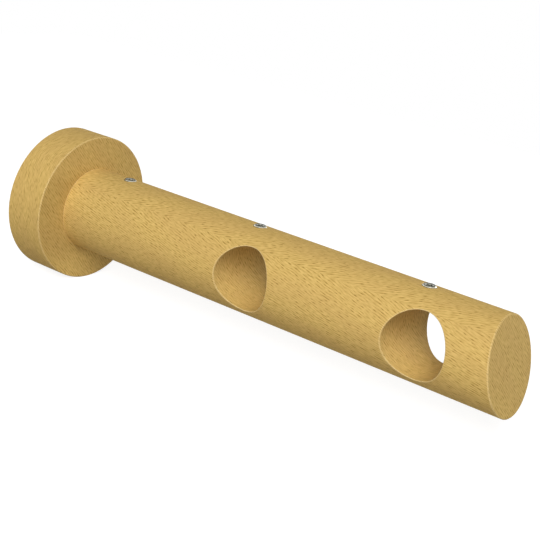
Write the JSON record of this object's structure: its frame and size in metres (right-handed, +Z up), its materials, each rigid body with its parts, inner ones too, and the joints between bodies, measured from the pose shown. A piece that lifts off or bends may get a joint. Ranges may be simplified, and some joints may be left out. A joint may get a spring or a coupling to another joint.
{
  "type": "curtain pole bracket",
  "caption": "Round beech stem on a wall disc, with cross bores for curtain poles in line, a slanted free end and set screws on top.",
  "frame": {"origin": "centre of the round face that goes against the wall", "axes": "+Y into the wall, +Z up, poles along X; the stem reaches into the room along -Y"},
  "size_m": [0.071, 0.2516, 0.071],
  "materials": {
    "beech": "clear satin lacquer",
    "zinc_plated_steel": "bright zinc plating",
    "turned_steel": "turned",
    "screw_steel": "bright zinc plating"
  },
  "bodies": {
    "root": {"wall_disc": "beech", "stem": "beech", "wall_plate": "zinc_plated_steel", "plate_pin": "turned_steel", "clamp_set_screw": "screw_steel", "inner_pole_set_screw": "screw_steel", "outer_pole_set_screw": "screw_steel"}
  },
  "joints": []
}
